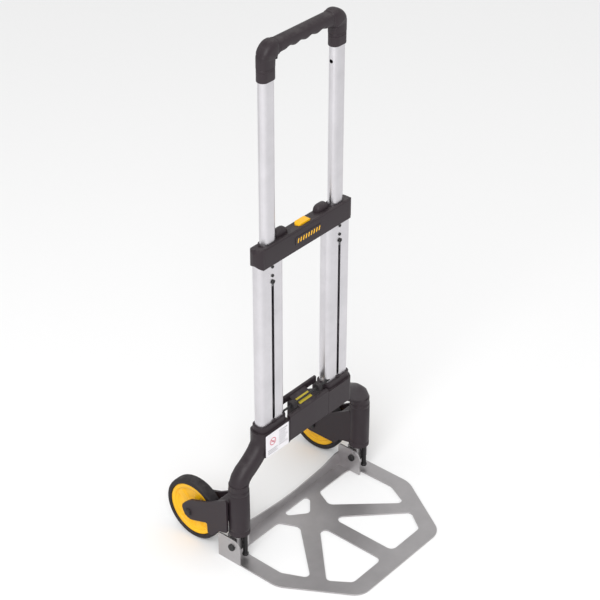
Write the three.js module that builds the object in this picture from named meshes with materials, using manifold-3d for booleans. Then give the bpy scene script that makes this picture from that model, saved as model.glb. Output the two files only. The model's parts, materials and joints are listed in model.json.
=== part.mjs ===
// Folding hand truck: telescopic handle, folding toe plate and two swing-in wheels.
// Millimetres, +Z up, +X to the truck's right seen from the front, the load side towards -Y.
// Everything is laid out about the plane of the tubes (y = 0) with the floor at z = 0, and the
// whole truck is then shifted so that the origin lies under the middle of its length and width.
import * as THREE from 'three';
import { mergeVertices } from 'three/addons/utils/BufferGeometryUtils.js';
import Module from 'manifold-3d';

const wasm = await Module();
wasm.setup();

// ---------- driving dimensions ----------
const gap = 0.3; // between pieces that touch

const toePlate = {
  width: 390, reach: 240, rear: 33, thickness: 3,
  cornerBack: 108, cornerIn: 80, sideRadius: 50, noseRadius: 35,
  rim: 33, frontRim: 34, spine: 32, lipThickness: 2.5,
  lipMiddle: 18, lipShoulder: 24, lipEnd: 34, shoulderAt: 95,
};
const ear = { thickness: 2.5, front: 20, top: 53, noseRadius: 19, heelRadius: 6 };
const hinge = { height: 34, boltRadius: 4, headRadius: 7, headLength: 3.4, clearance: 0.3 };

const tubes = { spacing: 179, overlap: 25 };
const profile = { width: 62, depth: 23, corner: 9, wall: 1.6, top: 612, socketDepth: 20 };
const slot = { width: 6.5, studHeight: profile.top - 53, studRadius: 2.75, endPlay: 0.4 };
const handleTravel = 285;

const crossbar = {
  width: tubes.spacing + profile.width + 9, depth: 31, bottom: profile.top - 19, height: 41,
  endRadius: 15, wall: 2.5,
  lowerCorner: 14, upperCorner: 12, rearFall: 6, edge: 3,
};
const bushing = { wall: 2.3, below: 4, rise: 5, clearance: 0.4 };
const button = {
  width: 30, depth: 14, centre: -1.5, proud: 6, skirt: 6, stemWidth: 16, stemDepth: 9, travel: 4.5,
};
const latch = { height: profile.top + 8, pinRadius: 3, inner: 15, tipGap: 0.6, wire: 1.3, coilRadius: 4.95 };

const handleTop = 999;
const grip = {
  top: handleTop, height: 29.5, depth: 27, corner: 11, bend: 15, start: handleTop - 44,
  waves: 4, wavePitch: 27, waveDepth: 2.6, waveRadius: 26, spigot: 24,
};
const collar = { bottom: grip.start - 23, wall: 1.8 };
const upperTube = { width: 31, depth: 18.6, wall: 1.5, top: grip.start - gap };

const socket = { top: 265, bottom: 203, wall: 4.2, floor: 6 };
const beam = {
  front: 20, wallDepth: 8, blockWidth: 44, railFront: 10, railDepth: 6, railTop: 276, railHeight: 14,
};
const rod = { radius: 2, y: -9.5, height: 270.5, bufferRadius: 7.5, bufferLength: 9, bufferAt: 36, entry: 3.1 };
const leg = { width: 35, depth: 34, corner: 14, startX: tubes.spacing / 2 + 21.5, shoulder: 222, elbow: 198 };

const knuckle = {
  x: toePlate.width / 2 - 22, radius: 18.5, bottom: 57, top: 157, pinRadius: 5, pinClearance: 0.35,
};
const foot = { width: 33, front: 8.4, rear: 14, bottom: 20 };
const post = { radius: 4.5, y: -13.4, bottom: 11 };

const tyreRadius = 63;
const wheel = {
  radius: tyreRadius, width: 24, offset: 3.8, trail: tyreRadius + 41,
  discRadius: tyreRadius - 10, discWidth: 20,
  bossRadius: 13, bossWidth: 23, axleRadius: 5, boreClearance: 0.3,
};
const fork = {
  armThickness: 5, tyreClearance: 5, endRadius: 18, bridgeRear: 36, bridgeFront: 8,
  bridgeTop: 133, bridgeBottom: 66, lugBottom: tyreRadius - 24, innerBottom: tyreRadius - 18,
};
const axleHead = { radius: 8, length: 3.6 };
const label = { thickness: 0.5 };

// ---------- sizes worked out from them ----------
const tubeX = tubes.spacing / 2;
const halfPlate = toePlate.width / 2;
const crossbarTop = crossbar.bottom + crossbar.height;
const profileBottom = socket.top - profile.socketDepth;
const slotTop = slot.studHeight + slot.studRadius + slot.endPlay;
const slotBottom = slot.studHeight - handleTravel - slot.studRadius - slot.endPlay;
const upperTubeBottom = slot.studHeight + 8;
const wheelX = knuckle.x + wheel.offset;
const armInset = wheel.width / 2 + fork.tyreClearance;
const innerEarX = 2 * knuckle.x - halfPlate;
const studHeadRadius = slot.studRadius + 1.5;
const rearmost = wheel.trail + wheel.radius;

// ---------- materials ----------
const material = (color, roughness, metalness) =>
  new THREE.MeshStandardMaterial({ color, roughness, metalness });
const aluminium = material(0xcfd0d2, 0.35, 0.85);
const sheetMetal = material(0xa3a2a6, 0.5, 0.75);
const charcoal = material(0x3f3c40, 0.62, 0.0);
const darkRubber = material(0x353235, 0.85, 0.0);
const amber = material(0xe9a81c, 0.42, 0.0);
const steel = material(0x8e9094, 0.32, 0.9);
const blackSteel = material(0x2a292b, 0.45, 0.6);
const greyNylon = material(0x8d8d90, 0.6, 0.0);
const whiteLabel = material(0xe8e6e8, 0.55, 0.0);
const oliveLabel = material(0xb5a53c, 0.5, 0.0);

// ---------- solid helpers ----------
function toSolid(geometry) {
  const bare = geometry.clone();
  bare.deleteAttribute('normal');
  bare.deleteAttribute('uv');
  const merged = mergeVertices(bare, 1e-4);
  return new wasm.Manifold(new wasm.Mesh({
    numProp: 3,
    vertProperties: new Float32Array(merged.attributes.position.array),
    triVerts: new Uint32Array(merged.index.array),
  }));
}

function toGeometry(solid) {
  const mesh = solid.getMesh();
  const geometry = new THREE.BufferGeometry();
  geometry.setAttribute('position', new THREE.BufferAttribute(new Float32Array(mesh.vertProperties), 3));
  geometry.setIndex(new THREE.BufferAttribute(new Uint32Array(mesh.triVerts), 1));
  return geometry;
}

const join = (first, ...rest) =>
  toGeometry(rest.reduce((sum, piece) => sum.add(toSolid(piece)), toSolid(first)));
const cut = (base, ...tools) =>
  toGeometry(tools.reduce((left, tool) => left.subtract(toSolid(tool)), toSolid(base)));
const common = (first, ...rest) =>
  toGeometry(rest.reduce((kept, piece) => kept.intersect(toSolid(piece)), toSolid(first)));

function mirrored(geometry) {
  const copy = geometry.index ? geometry.toNonIndexed() : geometry.clone();
  copy.deleteAttribute('normal');
  copy.deleteAttribute('uv');
  copy.scale(-1, 1, 1);
  const p = copy.attributes.position;
  for (let i = 0; i < p.count; i += 3) {
    const [x, y, z] = [p.getX(i + 1), p.getY(i + 1), p.getZ(i + 1)];
    p.setXYZ(i + 1, p.getX(i + 2), p.getY(i + 2), p.getZ(i + 2));
    p.setXYZ(i + 2, x, y, z);
  }
  return copy;
}

// ---------- outline helpers ----------
// Adds a closed run of corners [x, y, radius] to a path, each rounded by a true arc.
function trace(path, corners) {
  const count = corners.length;
  corners.forEach(([x, y, radius], i) => {
    const [ax, ay] = corners[(i + count - 1) % count];
    const [bx, by] = corners[(i + 1) % count];
    const back = new THREE.Vector2(ax - x, ay - y).normalize();
    const ahead = new THREE.Vector2(bx - x, by - y).normalize();
    if (!radius) {
      if (i === 0) path.moveTo(x, y);
      else path.lineTo(x, y);
      return;
    }
    const half = Math.acos(THREE.MathUtils.clamp(back.dot(ahead), -1, 1)) / 2;
    const run = radius / Math.tan(half);
    const toCentre = back.clone().add(ahead).normalize().multiplyScalar(radius / Math.sin(half));
    const [cx, cy] = [x + toCentre.x, y + toCentre.y];
    const start = Math.atan2(y + back.y * run - cy, x + back.x * run - cx);
    const end = Math.atan2(y + ahead.y * run - cy, x + ahead.x * run - cx);
    if (i === 0) path.moveTo(x + back.x * run, y + back.y * run);
    path.absarc(cx, cy, radius, start, end, back.cross(ahead) > 0);
  });
  path.closePath();
  return path;
}

const outline = (corners) => trace(new THREE.Shape(), corners);
const hole = (corners) => trace(new THREE.Path(), corners);
const roundedRect = (width, depth, radius, x = 0, y = 0) => [
  [x - width / 2, y - depth / 2, radius], [x + width / 2, y - depth / 2, radius],
  [x + width / 2, y + depth / 2, radius], [x - width / 2, y + depth / 2, radius],
];
const stadium = (width, depth, x = 0, y = 0) => roundedRect(width, depth, depth / 2 - 0.01, x, y);
const flipped = (corners) => corners.map(([x, y, radius]) => [-x, y, radius]).reverse();

// ---------- extrusions, bars and turned pieces ----------
const axes = [[1, 0, 0], [0, 1, 0], [0, 0, 1]].map((v) => new THREE.Vector3(...v));

function extrudeUp(shape, bottom, top, curveSegments = 2) {
  const options = { depth: top - bottom, bevelEnabled: false, curveSegments };
  return new THREE.ExtrudeGeometry(shape, options).translate(0, 0, bottom);
}

// A shape drawn in (y, z) carried along X.
function extrudeAcross(shape, from, to, curveSegments = 2) {
  const options = { depth: to - from, bevelEnabled: false, curveSegments };
  const turn = new THREE.Matrix4().makeBasis(axes[1], axes[2], axes[0]);
  return new THREE.ExtrudeGeometry(shape, options).applyMatrix4(turn).translate(from, 0, 0);
}

// A shape drawn in (x, z) carried along Y.
function extrudeBack(shape, from, to, curveSegments = 2) {
  const options = { depth: to - from, bevelEnabled: false, curveSegments };
  const turn = new THREE.Matrix4().makeBasis(axes[0], axes[2], axes[1].clone().negate());
  return new THREE.ExtrudeGeometry(shape, options).applyMatrix4(turn).translate(0, to, 0);
}

const box = (x0, x1, y0, y1, z0, z1) =>
  new THREE.BoxGeometry(x1 - x0, y1 - y0, z1 - z0).translate((x0 + x1) / 2, (y0 + y1) / 2, (z0 + z1) / 2);
const barX = (radius, x0, x1, y, z, sides = 20) =>
  new THREE.CylinderGeometry(radius, radius, x1 - x0, sides).rotateZ(Math.PI / 2).translate((x0 + x1) / 2, y, z);
const barY = (radius, y0, y1, x, z, sides = 20) =>
  new THREE.CylinderGeometry(radius, radius, y1 - y0, sides).translate(x, (y0 + y1) / 2, z);
const barZ = (radius, z0, z1, x, y, sides = 24) =>
  new THREE.CylinderGeometry(radius, radius, z1 - z0, sides).rotateX(Math.PI / 2).translate(x, y, (z0 + z1) / 2);

// A closed profile of [radius, x] points turned about an axis along X at (y, z).
function turnedX(points, y, z, sides) {
  const ring = [...points, points[0]].map(([radius, x]) => new THREE.Vector2(radius, x));
  return new THREE.LatheGeometry(ring, sides).rotateZ(-Math.PI / 2).translate(0, y, z);
}

class Coil extends THREE.Curve {
  constructor(radius, turns, length, axis) {
    super();
    Object.assign(this, { radius, turns, length, axis });
  }

  getPoint(t, target = new THREE.Vector3()) {
    const angle = 2 * Math.PI * this.turns * t;
    const [c, s] = [this.radius * Math.cos(angle), this.radius * Math.sin(angle)];
    if (this.axis === 'x') return target.set(this.length * t, c, s);
    return target.set(c, s, this.length * t);
  }
}

function coilSpring(radius, wire, turns, length, axis) {
  const section = new THREE.Shape().absarc(0, 0, wire / 2, 0, 2 * Math.PI);
  const extrudePath = new Coil(radius, turns, length - wire, axis);
  const spring = new THREE.ExtrudeGeometry(section, { extrudePath, steps: turns * 8, curveSegments: 3 });
  return axis === 'x' ? spring.translate(wire / 2, 0, 0) : spring.translate(0, 0, wire / 2);
}

// ---------- the truck's group ----------
const truck = new THREE.Group();
const body = new THREE.Group();
body.position.set(0, (toePlate.reach - rearmost) / 2, 0);
truck.add(body);

function add(name, geometry, surface) {
  const mesh = new THREE.Mesh(geometry, surface);
  mesh.name = name;
  body.add(mesh);
}

// Adds a piece drawn for the right side and the same piece, not mirrored, at the left knuckle.
function addCopies(name, geometry, surface) {
  add(`${name}_right`, geometry, surface);
  add(`${name}_left`, geometry.clone().translate(-2 * knuckle.x, 0, 0), surface);
}

// Adds a piece drawn for the right side and its mirror image on the left.
function addPair(name, geometry, surface) {
  add(`${name}_right`, geometry, surface);
  add(`${name}_left`, mirrored(geometry), surface);
}

// ---------- toe plate: one bent sheet with openings, rear lip and hinge ears ----------
function toePlateBody() {
  const { reach, rear, thickness, cornerBack, cornerIn, sideRadius, noseRadius, rim, frontRim, spine } = toePlate;
  const sheet = outline([
    [-halfPlate, -cornerBack, sideRadius], [-halfPlate + cornerIn, -reach, noseRadius],
    [halfPlate - cornerIn, -reach, noseRadius], [halfPlate, -cornerBack, sideRadius],
    [halfPlate, rear, 0], [-halfPlate, rear, 0],
  ]);
  const sideOpening = [
    [60, 6, 12], [42, -33, 14], [halfPlate - 56, -reach + 100, 9],
    [halfPlate - rim + 1, -reach + 150, 18], [halfPlate - rim, 6, 24],
  ];
  const frontOpening = [
    [spine / 2, -58, 10], [spine / 2, -reach + frontRim, 12],
    [halfPlate - 97, -reach + frontRim, 12], [halfPlate - 69, -reach + 74, 10],
  ];
  const middleOpening = [[-46, 16, 8], [0, -22, 9], [46, 16, 8]];
  sheet.holes.push(hole(middleOpening), hole(sideOpening), hole(flipped(sideOpening)));
  sheet.holes.push(hole(frontOpening), hole(flipped(frontOpening)));

  const { lipThickness, lipMiddle, lipShoulder, lipEnd, shoulderAt } = toePlate;
  const lip = outline([
    [-innerEarX - ear.thickness / 2, 1, 0], [innerEarX + ear.thickness / 2, 1, 0],
    [innerEarX + ear.thickness / 2, lipEnd, 0], [innerEarX - 12, lipEnd, 8], [shoulderAt, lipShoulder, 20],
    [20, lipMiddle, 40], [-20, lipMiddle, 40], [-shoulderAt, lipShoulder, 20],
    [-innerEarX + 12, lipEnd, 8], [-innerEarX - ear.thickness / 2, lipEnd, 0],
  ]);
  const earShape = outline([
    [-ear.front, 1, 0], [rear, 1, 0], [rear, ear.top, ear.heelRadius], [-ear.front, ear.top, ear.noseRadius],
  ]);
  const pieces = [extrudeBack(lip, rear - lipThickness, rear)];
  for (const from of [innerEarX, -halfPlate]) {
    pieces.push(extrudeAcross(earShape, from, from + ear.thickness));
  }
  const boreRadius = hinge.boltRadius + hinge.clearance;
  const bore = barX(boreRadius, -halfPlate - 5, halfPlate + 5, 0, hinge.height);
  return cut(join(extrudeUp(sheet, 0, thickness, 3), ...pieces), bore);
}

// ---------- hinge, foot and stop post ----------
function footBlock() {
  const { width, front, rear, bottom } = foot;
  const top = knuckle.bottom - gap;
  const side = outline([
    [-front, bottom, 5], [rear, bottom, 10], [rear, top, 0], [-front, top, 0],
  ]);
  const block = extrudeAcross(side, knuckle.x - width / 2, knuckle.x + width / 2);
  const bore = barX(hinge.boltRadius + hinge.clearance, knuckle.x - width, knuckle.x + width, 0, hinge.height);
  return cut(block, bore, barZ(knuckle.pinRadius + gap, pinBottom() - gap, top + 5, knuckle.x, 0));
}

const pinBottom = () => hinge.height + hinge.boltRadius + 3;

function hingeBolt() {
  const { boltRadius, headRadius, headLength } = hinge;
  const start = innerEarX - gap;
  const end = knuckle.x + foot.width / 2 - 4;
  return turnedX([
    [0.001, start - headLength], [headRadius - 1, start - headLength], [headRadius, start - headLength + 1],
    [headRadius, start], [boltRadius, start], [boltRadius, end], [0.001, end],
  ], 0, hinge.height, 20);
}

function stopPost() {
  const top = knuckle.bottom - gap;
  const shank = barZ(post.radius, post.bottom, top, knuckle.x, post.y, 16);
  return join(shank, barZ(post.radius + 1.5, post.bottom, post.bottom + 4, knuckle.x, post.y, 16));
}

// ---------- leg with its tube socket ----------
function legBody() {
  const { width, depth, corner, startX, shoulder, elbow } = leg;
  const route = new THREE.CatmullRomCurve3([
    [startX, socket.top - 12], [startX, shoulder + 10], [startX + 10, shoulder - 8],
    [(startX + knuckle.x) / 2, elbow - 2], [knuckle.x - 8, knuckle.top + 24],
    [knuckle.x, knuckle.top + 8], [knuckle.x, knuckle.top - 12],
  ].map(([x, z]) => new THREE.Vector3(x, 0, z)));
  const section = outline(roundedRect(depth, width, corner));
  const limb = new THREE.ExtrudeGeometry(section, { extrudePath: route, steps: 12, curveSegments: 2 });
  const outerWidth = profile.width + 2 * socket.wall;
  const outerDepth = 2 * beam.front;
  const [near, far, deep] = [tubeX - outerWidth / 2, tubeX + outerWidth / 2, outerDepth / 2];
  const cup = outline([[near, -deep, 1], [far, -deep, 11], [far, deep, 11], [near, deep, 1]]);
  const cupHigh = outline(roundedRect(outerWidth - 2, profile.depth + 2 * socket.wall, 12, tubeX, 0));
  const shoulderTop = barZ(knuckle.radius, knuckle.top - 20, knuckle.top + 12, knuckle.x, 0, 28);
  const whole = join(
    limb, extrudeUp(cup, socket.bottom, socket.top - 12), extrudeUp(cupHigh, socket.top - 14, socket.top),
    shoulderTop,
  );
  const fit = gap + 0.05;
  const pocket = outline(roundedRect(profile.width + 2 * fit, profile.depth + 2 * fit, profile.corner, tubeX, 0));
  const drain = outline(roundedRect(profile.width - 18, profile.depth - 9, 4, tubeX, 0));
  return cut(
    whole,
    box(knuckle.x - 60, knuckle.x + 60, -60, 60, 0, knuckle.top + gap),
    extrudeUp(pocket, profileBottom - gap, socket.top + 5),
    extrudeUp(drain, socket.bottom - 60, profileBottom + 5),
    barZ(knuckle.pinRadius + gap, 0, knuckle.top + 15 + gap, knuckle.x, 0),
  );
}

const beamEnd = () => tubeX - profile.width / 2 - socket.wall - gap;

// Middle of the crossmember: front wall, centre block with a sloping top and the rear rail.
function crossmemberBody() {
  const { front, wallDepth, blockWidth, railFront, railDepth, railTop, railHeight } = beam;
  const end = beamEnd();
  const wall = outline([
    [-front, socket.bottom, 3], [-front + wallDepth, socket.bottom, 2],
    [-front + wallDepth, socket.top - 6, 2], [-front, socket.top - 6, 4],
  ]);
  const block = outline([
    [-front + 2, socket.bottom + 6, 0], [railFront + railDepth - 1, socket.bottom + 20, 4],
    [railFront + railDepth - 1, railTop - 4, 0], [railFront + 1, railTop - 4, 0], [-front + 2, socket.top - 7, 0],
  ]);
  const rail = outline(roundedRect(railDepth, railHeight, 2, railFront + railDepth / 2, railTop - railHeight / 2));
  return join(
    extrudeAcross(wall, -end, end), extrudeAcross(block, -blockWidth / 2, blockWidth / 2),
    extrudeAcross(rail, -end, end),
  );
}

function crossRod() {
  const reach = tubeX - profile.width / 2 + rod.entry;
  return turnedX([
    [0.001, -reach], [rod.radius, -reach], [rod.radius, reach], [0.001, reach],
  ], rod.y, rod.height, 14);
}

function rodBuffer() {
  const { radius, y, height, bufferRadius, bufferLength, bufferAt } = rod;
  const disc = barX(bufferRadius, bufferAt - bufferLength / 2, bufferAt + bufferLength / 2, y, height, 24);
  return cut(disc, barX(radius + gap, bufferAt - bufferLength, bufferAt + bufferLength, y, height, 14));
}

// ---------- fixed tube profiles ----------
function profileBody() {
  const { width, depth, corner, wall, top } = profile;
  const section = outline(roundedRect(width, depth, corner, tubeX, 0));
  section.holes.push(hole(roundedRect(width - 2 * wall, depth - 2 * wall, corner - wall, tubeX, 0)));
  const opening = outline(roundedRect(slot.width, slotTop - slotBottom, slot.width / 2 - 0.01,
    tubeX, (slotTop + slotBottom) / 2));
  const rodHole = barX(rod.radius + gap, tubeX - width / 2 - 5, tubeX - width / 2 + corner, rod.y, rod.height);
  return cut(extrudeUp(section, profileBottom, top), extrudeBack(opening, -depth, 0), rodHole);
}

// Small end stop on the profile's face, between the socket rim and the guide stud's lowest place.
function slotStop() {
  const front = -profile.depth / 2 - gap;
  const top = slot.studHeight - handleTravel - studHeadRadius - gap;
  const [low, half] = [socket.top + gap, slot.width / 2 + 2];
  const shape = outline([
    [tubeX - half, low, 1], [tubeX + half, low, 1], [tubeX + half, top, 1], [tubeX - half, top, 1],
  ]);
  return extrudeBack(shape, front - 1.8, front);
}

const rivetGeometry = (height) => {
  const front = -profile.depth / 2 - gap;
  return turnedX([[0.001, 0], [3, 0], [2.4, 1.3], [0.001, 1.6]], 0, 0, 16)
    .rotateZ(-Math.PI / 2).translate(tubeX, front, height);
};

// ---------- crossbar with its guide bushings and badge ----------
function crossbarShell() {
  const { width, depth, bottom, height, endRadius, wall, lowerCorner, upperCorner, rearFall, edge } = crossbar;
  const plan = extrudeUp(outline(roundedRect(width, depth, endRadius)), bottom - 5, crossbarTop + 5);
  const elevation = extrudeBack(outline([
    [-width / 2, bottom, lowerCorner], [width / 2, bottom, lowerCorner],
    [width / 2, crossbarTop, upperCorner], [-width / 2, crossbarTop, upperCorner],
  ]), -depth, depth);
  const end = extrudeAcross(outline([
    [-depth / 2, bottom, edge], [depth / 2, bottom, edge],
    [depth / 2, crossbarTop - rearFall, edge], [-depth / 2 + edge, crossbarTop, 0],
    [-depth / 2, crossbarTop - edge, 0],
  ], 3), -width, width);
  const inside = outline(roundedRect(width - 2 * wall, depth - 2 * wall, endRadius - wall));
  const tools = [extrudeUp(inside, bottom + wall, crossbarTop - rearFall - wall)];
  for (const x of [-tubeX, tubeX]) {
    const fit = gap;
    const mouth = roundedRect(profile.width + 2 * fit, profile.depth + 2 * fit, profile.corner, x, 0);
    tools.push(extrudeUp(outline(mouth), bottom - 5, bottom + 10));
    const seat = stadium(bushingWidth() + 2 * gap, bushingDepth() + 2 * gap, x, 0);
    tools.push(extrudeUp(outline(seat), profile.top, crossbarTop + 5));
  }
  const well = roundedRect(button.width + 2 * gap, button.depth + 2 * gap, 4, 0, button.centre);
  tools.push(extrudeUp(outline(well), crossbarTop - 20, crossbarTop + 5));
  return cut(common(plan, elevation, end), ...tools);
}

function crossbarHalf(shell, front) {
  const reach = crossbar.width;
  const keep = front
    ? box(-reach, reach, -reach, -gap / 2, 0, 2 * crossbarTop)
    : box(-reach, reach, gap / 2, reach, 0, 2 * crossbarTop);
  return common(shell, keep);
}

const bushingWidth = () => upperTube.width + 2 * (bushing.clearance + bushing.wall);
const bushingDepth = () => upperTube.depth + 2 * (bushing.clearance + bushing.wall);

function bushingBody() {
  const { clearance, below, rise } = bushing;
  const base = crossbarTop - crossbar.rearFall;
  const section = outline(stadium(bushingWidth(), bushingDepth(), tubeX, 0));
  section.holes.push(hole(stadium(upperTube.width + 2 * clearance, upperTube.depth + 2 * clearance, tubeX, 0)));
  return extrudeUp(section, base - below, base + rise);
}

function badge() {
  const middle = crossbar.bottom + crossbar.height / 2;
  const face = -crossbar.depth / 2 - gap;
  return extrudeBack(outline(roundedRect(70, 15, 3, 0, middle)), face - label.thickness, face);
}

// ---------- release button, latch pins and springs ----------
function buttonBody() {
  const { width, depth, centre, proud, skirt, stemWidth, stemDepth, travel } = button;
  const capBottom = latch.height + latch.pinRadius + travel + 0.5;
  const top = crossbarTop - crossbar.rearFall / 2 + proud;
  const cap = extrudeBack(outline([
    [-width / 2, capBottom, 0], [width / 2, capBottom, 0], [width / 2, top, 5], [-width / 2, top, 5],
  ]), centre - depth / 2, centre + depth / 2);
  const plan = extrudeUp(outline(roundedRect(width, depth, 3.5, 0, centre)), capBottom - 5, top + 5);
  const stem = box(-stemWidth / 2, stemWidth / 2, -stemDepth / 2, stemDepth / 2,
    crossbar.bottom + crossbar.wall + skirt + travel + 2, capBottom + 2);
  return join(common(cap, plan), stem);
}

function latchPin() {
  const tip = tubeX - upperTube.width / 2 - latch.tipGap;
  const { inner, pinRadius } = latch;
  return turnedX([
    [0.001, inner], [pinRadius - 1, inner], [pinRadius, inner + 2], [pinRadius, tip - 1.5],
    [pinRadius - 1, tip], [0.001, tip],
  ], 0, latch.height, 18);
}

// ---------- handle ----------
function upperTubeBody() {
  const { width, depth, wall, top } = upperTube;
  const section = outline(stadium(width, depth, tubeX, 0));
  section.holes.push(hole(stadium(width - 2 * wall, depth - 2 * wall, tubeX, 0)));
  const innerFace = tubeX - width / 2;
  const holes = [latch.height, latch.height + handleTravel].map((height) =>
    barX(latch.pinRadius + 0.7, innerFace - 3, innerFace + wall + 2, 0, height, 16));
  return cut(extrudeUp(section, upperTubeBottom, top), ...holes);
}

function sliderBody() {
  const fit = 0.5;
  const shoeWidth = profile.width - 2 * profile.wall - 2 * fit;
  const shoeDepth = profile.depth - 2 * profile.wall - 2 * fit;
  const shoe = extrudeUp(outline(roundedRect(shoeWidth, shoeDepth, profile.corner - profile.wall - fit, tubeX, 0)),
    slot.studHeight - 11, upperTubeBottom - gap);
  const plugWidth = upperTube.width - 2 * upperTube.wall - 2 * gap;
  const plugDepth = upperTube.depth - 2 * upperTube.wall - 2 * gap;
  const plug = extrudeUp(outline(stadium(plugWidth, plugDepth, tubeX, 0)), slot.studHeight, upperTubeBottom + 16);
  const studHole = barY(slot.studRadius + gap, -shoeDepth, 0, tubeX, slot.studHeight, 16);
  return cut(join(shoe, plug), studHole);
}

function studBody() {
  const front = -profile.depth / 2 - 1;
  const head = barY(studHeadRadius, front - 1.6, front, tubeX, slot.studHeight, 18);
  return join(barY(slot.studRadius, front - 0.5, -gap, tubeX, slot.studHeight, 18), head);
}

function gripBody() {
  const { top, height, depth, corner, bend, start, waves, wavePitch, waveDepth, waveRadius, spigot } = grip;
  const middle = top - height / 2;
  const route = new THREE.CurvePath();
  const at = (x, z) => new THREE.Vector3(x, 0, z);
  route.add(new THREE.LineCurve3(at(-tubeX, start), at(-tubeX, middle - bend)));
  const roundCorner = (from, through, to) => route.add(new THREE.QuadraticBezierCurve3(from, through, to));
  roundCorner(at(-tubeX, middle - bend), at(-tubeX, middle), at(-tubeX + bend, middle));
  route.add(new THREE.LineCurve3(at(-tubeX + bend, middle), at(tubeX - bend, middle)));
  roundCorner(at(tubeX - bend, middle), at(tubeX, middle), at(tubeX, middle - bend));
  route.add(new THREE.LineCurve3(at(tubeX, middle - bend), at(tubeX, start)));
  const section = outline(roundedRect(depth, height, corner));
  const bow = new THREE.ExtrudeGeometry(section, { extrudePath: route, steps: 30, curveSegments: 2 });
  const grooves = [];
  for (let i = 0; i < waves; i += 1) {
    const x = (i - (waves - 1) / 2) * wavePitch;
    grooves.push(barY(waveRadius, -depth, depth, x, top - height + waveDepth - waveRadius, 32));
  }
  const plugWidth = upperTube.width - 2 * upperTube.wall - 2 * gap;
  const plugDepth = upperTube.depth - 2 * upperTube.wall - 2 * gap;
  const plugs = [-tubeX, tubeX].map((x) =>
    extrudeUp(outline(stadium(plugWidth, plugDepth, x, 0)), start - spigot, start + 6));
  return cut(join(bow, ...plugs), ...grooves);
}

function collarBody() {
  const { bottom, wall } = collar;
  const section = outline(stadium(upperTube.width + 2 * (gap + wall), upperTube.depth + 2 * (gap + wall), tubeX, 0));
  section.holes.push(hole(stadium(upperTube.width + 2 * gap, upperTube.depth + 2 * gap, tubeX, 0)));
  return extrudeUp(section, bottom, grip.start - gap);
}

// ---------- fork, axle and wheel ----------
// Arm outlines in (y, z): both share the top edge, the outer one has a lug and a slim end.
function armShape(lowerEdge) {
  const { trail, radius } = wheel;
  return outline([
    [fork.bridgeFront, knuckle.bottom + 8, 4], ...lowerEdge,
    [trail + fork.endRadius, radius + 10, fork.endRadius - 4],
    [trail - 6, radius + 32, 16], [trail - 44, radius + 46, 30], [fork.bridgeFront, knuckle.top - 16, 4],
  ]);
}

const outerArm = () => armShape([
  [28, knuckle.bottom + 2, 3], [46, fork.lugBottom, 3], [56, fork.lugBottom + 1, 3], [57, wheel.radius, 3],
  [wheel.trail + 4, wheel.radius - fork.endRadius, fork.endRadius],
]);
const innerArm = () => armShape([
  [34, knuckle.bottom + 2, 8], [46, fork.innerBottom, 12], [wheel.trail + fork.endRadius, fork.innerBottom, 14],
]);

function forkBody() {
  const outer = wheelX + armInset;
  const inner = wheelX - armInset - fork.armThickness;
  const { bridgeFront, bridgeRear, bridgeBottom, bridgeTop } = fork;
  const bridgeShape = outline([
    [bridgeFront, bridgeBottom, 0], [bridgeRear, bridgeBottom, 3],
    [bridgeRear, bridgeTop - 8, 8], [bridgeFront, bridgeTop, 0],
  ]);
  const whole = join(
    barZ(knuckle.radius, knuckle.bottom, knuckle.top, knuckle.x, 0, 28),
    extrudeAcross(bridgeShape, inner + 1, outer + fork.armThickness - 1),
    extrudeAcross(outerArm(), outer, outer + fork.armThickness),
    extrudeAcross(innerArm(), inner, inner + fork.armThickness),
  );
  const axleBore = barX(wheel.axleRadius + gap, inner - 5, outer + 15, wheel.trail, wheel.radius, 18);
  const pinBore = barZ(knuckle.pinRadius + knuckle.pinClearance, 0, knuckle.top + 5, knuckle.x, 0);
  return cut(whole, axleBore, pinBore);
}

function axleBody() {
  const outer = wheelX + armInset + fork.armThickness + gap;
  const inner = wheelX - armInset - fork.armThickness - gap;
  const { radius, length } = axleHead;
  return turnedX([
    [0.001, inner - length], [radius, inner - length], [radius, inner], [wheel.axleRadius, inner],
    [wheel.axleRadius, outer], [radius, outer], [radius - 1.5, outer + length], [0.001, outer + length],
  ], wheel.trail, wheel.radius, 16);
}

function wheelDisc() {
  const { discRadius, discWidth, bossRadius, bossWidth, axleRadius, boreClearance, trail, radius } = wheel;
  const [face, boss, bore] = [discWidth / 2, bossWidth / 2, axleRadius + boreClearance];
  const half = [
    [bore, boss], [bossRadius, boss], [bossRadius + 2, face - 5],
    [discRadius - 14, face - 4], [discRadius - 6, face], [discRadius, face],
  ];
  const other = half.map(([r, x]) => [r, -x]).reverse();
  return turnedX([...half, ...other].map(([r, x]) => [r, x + wheelX]).reverse(), trail, radius, 30);
}

function tyreBody() {
  const { discRadius, width, radius, trail } = wheel;
  const [half, seat] = [width / 2, discRadius + gap];
  const ring = [
    [seat, half - 3], [radius - 6, half], [radius - 2, half - 2.5], [radius, half - 7],
    [radius, -half + 7], [radius - 2, -half + 2.5], [radius - 6, -half], [seat, -half + 3],
  ];
  return turnedX(ring.map(([r, x]) => [r, x + wheelX]).reverse(), trail, radius, 36);
}

// ---------- labels ----------
function warningLabel() {
  const face = -beam.front - gap;
  const half = (socket.top - socket.bottom) / 2 - 7;
  const shape = outline(roundedRect(62, 2 * half, 1.5, -tubeX - 1, (socket.top - 12 + socket.bottom) / 2));
  return extrudeBack(shape, face - label.thickness, face);
}

function blockLabel() {
  const run = beam.railFront + beam.front - 1;
  const rise = beam.railTop - 4 - (socket.top - 7);
  const slope = Math.atan2(rise, run);
  return box(-17, 17, -9, 4, 0, label.thickness)
    .rotateX(slope)
    .translate(0, -beam.front + 2 + run / 2, (beam.railTop - 4 + socket.top - 7) / 2 + 1);
}

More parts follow.
